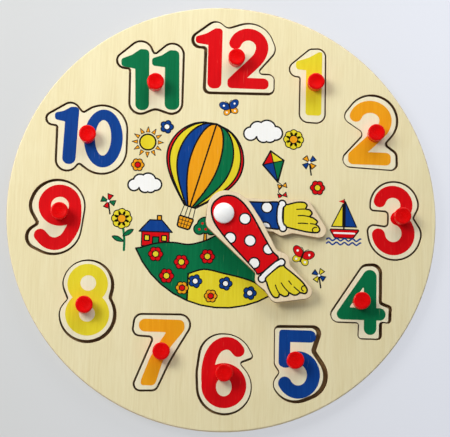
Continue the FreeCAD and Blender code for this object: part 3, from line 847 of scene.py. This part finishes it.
def hill(top_line, radius, start, end, ink):
    """A patch of ground from its top line down to a round lower edge."""
    patch = smooth(top_line) + arc(0, 0, radius, radius, start, end)
    return outlined(ink, patch)


def pinwheel(x, y, size, lean, first, second):
    """A toy windmill with four folded blades on a stick."""
    coats = [("black", stroke([(x, y), (x + 1.5 * size, y - 9.5 * size)], 0.5))]
    for k, ink in enumerate((first, second, first, second)):
        coats += outlined(ink, placed([(0, 0), (5.4, 0), (3.9, 3.9)], x, y, lean + 90 * k, size), 0.32)
    return coats + [("white", [disc(x, y, 0.9, 16)])]


def house(x, y, width, height):
    """A small house with a pitched roof, from the middle of its foot."""
    half = width / 2

    def block(left, right, low, high):
        return [(left, low * height), (right, low * height), (right, high * height), (left, high * height)]

    roof = [(-half - 2, height - 0.4), (half + 2, height - 0.4), (half * 0.45, height * 1.75),
            (-half * 0.45, height * 1.75)]
    coats = []
    for ink, shape in (("orange", block(half * 0.1, half * 0.4, 1.2, 2.05)),
                       ("red", block(-half, half, 0, 1)),
                       ("blue", roof),
                       ("green", block(-half * 0.2, half * 0.25, 0, 0.62)),
                       ("yellow", block(-half * 0.8, -half * 0.8 + 3.4, 0.36, 0.72)),
                       ("yellow", block(half * 0.46, half * 0.46 + 3.4, 0.36, 0.72))):
        coats += outlined(ink, shape, 0.45)
    return placed_coats(coats, x, y)


def tree(x, y, size):
    """A round tree from the foot of its trunk."""
    trunk = [(-1.1, 0), (1.1, 0), (0.8, 7), (-0.8, 7)]
    leaves = [(0, 12.5, 5.6), (-4.4, 9.6, 3.6), (4.4, 9.6, 3.6)]
    apples = [(-2.2, 13.8), (2.6, 12.6), (-4.4, 9.4), (0.2, 9.6), (4.6, 8.8)]
    coats = outlined("orange", trunk, 0.4)
    coats += [("black", [disc(a, b, r + 0.9, 36) for a, b, r in leaves]),
              ("green", [disc(a, b, r, 36) for a, b, r in leaves]),
              ("red", [disc(a, b, 0.95, 16) for a, b in apples])]
    return placed_coats(coats, x, y, size=size)


def boat(x, y, size):
    """A toy sailing boat on two waves."""
    hull = rounded([(-10, -6, 0.6), (-6.5, -12, 2), (6.5, -12, 2), (11, -6, 0.6)])
    coats = [("black", stroke([(0, -6), (0, 15.4)], 0.5))]
    coats += outlined("red", hull, 0.45) + [("white", stroke([(-6.8, -8.6), (7.4, -8.6)], 0.6))]
    coats += outlined("yellow", [(-0.8, -4), (-0.8, 12), (-8.6, -4)], 0.4)
    coats += outlined("blue", [(0.8, -4), (0.8, 14), (9, -4)], 0.4)
    coats += [("red", [[(0, 15.4), (0, 12.6), (-4, 14)]])]
    for wave in (-13.2, -16.0):
        crests = [(0.8 * k - 12, wave + 0.9 * math.sin(k * 0.9)) for k in range(31)]
        coats.append(("blue", stroke(crests, 0.55)))
    return placed_coats(coats, x, y, size=size)


def leafy_stem(x, y, height, lean):
    """A flower's stem with two leaves; its head is planted at its top."""
    coats = [("green", stroke(smooth([(0, 0), (0.8, height * 0.4), (0, height)]), 0.8))]
    for side, up in ((-1, 0.28), (1, 0.45)):
        leaf = smooth([(0, up * height), (side * 3.4, up * height + 3.6), (side * 7.4, up * height + 4.0),
                       (side * 4.6, up * height + 0.8)], closed=True)
        coats += outlined("green", leaf, 0.32)
    return placed_coats(coats, x, y, lean)


picture = (
    leafy_stem(-68, -27, 22, 6)
    + tree(-12, -19.5, 0.95)
    + house(-46.5, -23.5, 19, 10.5)
    + hill([(-57, -25), (-46, -21.5), (-34, -20.5), (-23, -21.5), (-12, -18.5), (-2, -14), (9, -17),
             (20, -30), (27, -45), (27, -59)], 65, -65, -157, "green")
    + hill([(-23, -42), (-12, -38.5), (2, -41), (14, -43.5), (24, -47), (34, -55)],
            65, -58, -111, "yellow")
    + cloud(27, 60, 1.0)
    + sun(-54, 50, 5.6)
    + cloud(-55, 20, 0.85)
    + balloon(-13.5, 39, 27, -16)
    + kite(35, 37, 0.95, 14)
    + butterfly(3, 77, 0.8, 14, "blue", "orange")
    + butterfly(56, -27, 0.9, -20, "red", "yellow")
    + pinwheel(60, 40, 0.95, 20, "blue", "orange")
    + pinwheel(-80, 7, 0.95, 50, "red", "green")
    + pinwheel(68, -40, 0.9, 35, "yellow", "blue")
    + boat(85, -1, 1.0)
)
print_film("board_print", picture, face_height, "board")


# Flowers, one head of petals repeated at each flower's place

def make_flower_tree():
    """Petals on a circle round a heart, each a thin disc with a dark disc under it."""
    tree, given, result = new_group(
        "flower_heads", "GeometryNodeTree",
        [("Geometry", SHAPE, None), ("Petals", "NodeSocketInt", 6), ("Circle", FLOAT, 0.003),
         ("Petal", FLOAT, 0.0019), ("Heart", FLOAT, 0.0018), ("Line", FLOAT, 0.0007),
         ("Film", FLOAT, 0.00005), ("Petal Ink", FINISH, None), ("Heart Ink", FINISH, None),
         ("Line Ink", FINISH, None)],
        [("Geometry", SHAPE)])
    around = add(tree, "GeometryNodeMeshCircle", fill_type="NONE")
    join(tree, (given["Petals"], around.inputs["Vertices"]), (given["Circle"], around.inputs["Radius"]))

    def spot(radius, storey, ink, points=None):
        """A disc of one ink at a storey of the film, on its own or at each point."""
        plate = add(tree, "GeometryNodeMeshCylinder", {"Vertices": 20})
        rise = add(tree, "ShaderNodeCombineXYZ")
        shift = add(tree, "GeometryNodeTransform")
        paint = add(tree, "GeometryNodeSetMaterial")
        join(tree, (radius, plate.inputs["Radius"]), (given["Film"], plate.inputs["Depth"]),
             (sums(tree, "MULTIPLY", given["Film"], storey), rise.inputs["Z"]),
             (rise.outputs[0], shift.inputs["Translation"]), (plate.outputs["Mesh"], shift.inputs[0]))
        source = shift.outputs[0]
        if points is not None:
            spread = add(tree, "GeometryNodeInstanceOnPoints")
            join(tree, (points, spread.inputs["Points"]), (source, spread.inputs["Instance"]))
            source = spread.outputs[0]
        join(tree, (source, paint.inputs["Geometry"]), (ink, paint.inputs["Material"]))
        return paint.outputs[0]

    petal_back = sums(tree, "ADD", given["Petal"], given["Line"])
    heart_back = sums(tree, "ADD", given["Heart"], given["Line"])
    head = add(tree, "GeometryNodeJoinGeometry")
    for part in (spot(petal_back, 0.6, given["Line Ink"], around.outputs[0]),
                 spot(given["Petal"], 1.2, given["Petal Ink"], around.outputs[0]),
                 spot(heart_back, 1.8, given["Line Ink"]),
                 spot(given["Heart"], 2.4, given["Heart Ink"])):
        join(tree, (part, head.inputs[0]))
    place = add(tree, "GeometryNodeInstanceOnPoints")
    real = add(tree, "GeometryNodeRealizeInstances")
    join(tree, (given["Geometry"], place.inputs["Points"]), (head.outputs[0], place.inputs["Instance"]),
         (place.outputs[0], real.inputs[0]), (real.outputs[0], result["Geometry"]))
    return tree


def plant_flowers(name, spots, petal_ink, heart_ink, petals, circle):
    """Flower heads of one kind on the board's face, as one plain mesh."""
    seeds = bpy.data.meshes.new(name + "_places")
    seeds.from_pydata([(x * MM, y * MM, (face_height + FILM_RISE) * MM) for x, y in spots], [], [])
    sower = new_object(name + "_sower", seeds)
    modifier = sower.modifiers.new("flowers", "NODES")
    modifier.node_group = FLOWER_HEADS
    given = {
        "Petals": petals,
        "Circle": circle * MM,
        "Petal": circle * PETAL_SHARE * MM,
        "Heart": circle * HEART_SHARE * MM,
        "Petal Ink": INKS[petal_ink],
        "Heart Ink": INKS[heart_ink],
        "Line Ink": INKS["black"],
    }
    for item in FLOWER_HEADS.interface.items_tree:
        if item.in_out == "INPUT" and item.name in given:
            modifier[item.identifier] = given[item.name]
    seen = sower.evaluated_get(bpy.context.evaluated_depsgraph_get())
    mesh = bpy.data.meshes.new_from_object(seen)
    mesh.name = name
    flowers = new_object(name, mesh)
    sower.modifiers.clear()
    bpy.data.objects.remove(sower)
    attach(flowers, "board")


PETAL_SHARE = 0.6
HEART_SHARE = 0.62
FLOWER_HEADS = make_flower_tree()
plant_flowers("red_flowers", [(-46, -29), (-28, -34), (-38, -44), (-10, -29.5), (66, 22)], "red", "yellow",
              6, 3.0)
plant_flowers("blue_flowers", [(-18, -47), (3, -48), (20, -54), (-41, 61.5)], "blue", "white", 5, 2.7)
plant_flowers("orange_flowers", [(-27, -52), (-7, -57), (-60.5, 33.5)], "orange", "red", 6, 2.6)
plant_flowers("yellow_flowers", [(-70.3, -5), (48.5, 56)], "yellow", "orange", 8, 4.2)


# Floor, lamps and camera

def soft_floor():
    """A wide pale floor that shows the camera its colour with painted light and shade: lighter to the right,
    darker by the board's lower rim.
    """
    mesh = bpy.data.meshes.new("floor")
    corners = [(x * FLOOR_HALF, y * FLOOR_HALF, 0) for x, y in ((-1, -1), (1, -1), (1, 1), (-1, 1))]
    mesh.from_pydata(corners, [], [(0, 1, 2, 3)])
    floor = new_object("floor", mesh)
    floor.location.z = -FLOOR_DROP
    material, tree, shader, place = new_material("pale_floor", Roughness=0.6, Specular_IOR_Level=0.1)
    shader.inputs["Base Color"].default_value = linear(214, 216, 220)
    plain = add(tree, "ShaderNodeEmission")
    across = add(tree, "ShaderNodeSeparateXYZ")
    join(tree, (place.outputs["Object"], across.inputs[0]))
    reach = board_radius * MM
    # Painted light and shade: the floor's colour runs from darker at the left to lighter at the right.
    tone = blended(tree, ramp(tree, across.outputs[0], -reach, reach), FLOOR_SHADED_LEFT, FLOOR_LIT_RIGHT)
    join(tree, (tone, plain.inputs["Color"]),
         (ramp(tree, across.outputs[1], FLOOR_DIM_FROM * reach, FLOOR_BRIGHT_FROM * reach, FLOOR_DIM,
               FLOOR_BRIGHT), plain.inputs["Strength"]))
    rays = add(tree, "ShaderNodeLightPath")
    seen = sums(tree, "ADD", sums(tree, "ADD", rays.outputs["Is Camera Ray"], rays.outputs["Is Glossy Ray"]),
                rays.outputs["Is Transmission Ray"])
    mixed = add(tree, "ShaderNodeMixShader")
    output = next(node for node in tree.nodes if node.type == "OUTPUT_MATERIAL")
    join(tree, (sums(tree, "MULTIPLY", seen, PLAIN_FLOOR_SHARE), mixed.inputs[0]),
         (shader.outputs[0], mixed.inputs[1]), (plain.outputs[0], mixed.inputs[2]),
         (mixed.outputs[0], output.inputs[0]))
    mesh.materials.append(material)


FLOOR_HALF = 4.0
FLOOR_DROP = 0.0003
PLAIN_FLOOR_SHARE = 0.75
# Painted light and shade: the floor's colour is darker at the left and lighter at the right.
FLOOR_SHADED_LEFT = linear(219, 220, 218)
FLOOR_LIT_RIGHT = linear(236, 239, 248)
# Painted shade: the floor's tone rises from dim, by the board's lower rim, to bright near its upper rim.
FLOOR_DIM, FLOOR_BRIGHT = 0.9, 1.03
FLOOR_DIM_FROM, FLOOR_BRIGHT_FROM = -1.1, 0.9


def soft_lamp(name, place, width, height, power, color):
    """A wide lamp that faces the middle of the board's back."""
    data = bpy.data.lights.new(name, "AREA")
    data.shape = "RECTANGLE"
    data.size, data.size_y = width, height
    data.energy = power
    data.color = color
    lamp = new_object(name, data)
    lamp.location = place
    lamp.rotation_euler = (-Vector(place)).to_track_quat("-Z", "Y").to_euler()


def plain_sky(low_strength, high_strength, color):
    """A light from all round that is dim overhead, as under a dark ceiling."""
    world = bpy.data.worlds.new("studio")
    world.use_nodes = True
    tree = world.node_tree
    background = tree.nodes["Background"]
    background.inputs["Color"].default_value = color
    way = add(tree, "ShaderNodeNewGeometry")
    height = add(tree, "ShaderNodeSeparateXYZ")
    join(tree, (way.outputs["Position"], height.inputs[0]),
         (ramp(tree, height.outputs[2], CEILING_EDGE, CEILING_FULL, low_strength, high_strength),
          background.inputs["Strength"]))
    bpy.context.scene.world = world


CEILING_EDGE = 0.75
CEILING_FULL = 0.95


def aim_camera(azimuth, elevation, roll, distance, target, pixels_per_tangent, middle_pixel):
    """The camera as the photograph's was: round to one side, up, and turned a little."""
    a, e, r = (math.radians(v) for v in (azimuth, elevation, roll))
    back = Vector((math.sin(a) * math.cos(e), -math.cos(a) * math.cos(e), math.sin(e)))
    level_up = Vector((0, 1, 0))
    level_up = (level_up - back * level_up.dot(back)).normalized()
    level_right = level_up.cross(back)
    up = level_up * math.cos(r) - level_right * math.sin(r)
    right = up.cross(back)
    data = bpy.data.cameras.new("camera")
    camera = new_object("camera", data)
    matrix = camera.matrix_world.copy()
    for column, axis in enumerate((right, up, back)):
        for row in range(3):
            matrix[row][column] = axis[row]
    matrix.translation = Vector(target) + back * distance
    camera.matrix_world = matrix
    data.sensor_width = 36
    data.lens = data.sensor_width * pixels_per_tangent / PHOTO_WIDTH
    data.shift_x = (PHOTO_WIDTH / 2 - middle_pixel[0]) / PHOTO_WIDTH
    data.shift_y = (middle_pixel[1] - PHOTO_HEIGHT / 2) / PHOTO_WIDTH
    data.clip_start, data.clip_end = 0.05, 20
    bpy.context.scene.camera = camera


PHOTO_WIDTH = 450
PHOTO_HEIGHT = 437

soft_floor()
plain_sky(0.36, 0.1, linear(240, 244, 255))
soft_lamp("window", (-0.68, 0.36, 0.68), width=0.45, height=0.45, power=6.8, color=(1.0, 0.99, 0.95))
soft_lamp("low_fill", (-0.4, -0.7, 0.22), width=0.4, height=0.2, power=0.7, color=(1.0, 0.98, 0.95))
soft_lamp("top_light", (0.12, 0.6, 0.35), width=0.6, height=0.3, power=2.5, color=(0.98, 0.99, 1.0))
aim_camera(azimuth=-19.9, elevation=79.3, roll=1.5, distance=1.18, target=(0, 0, face_height * MM),
           pixels_per_tangent=1692.5, middle_pixel=(222.9, 215.2))
bpy.context.scene.view_settings.view_transform = "Standard"

bpy.context.view_layer.update()
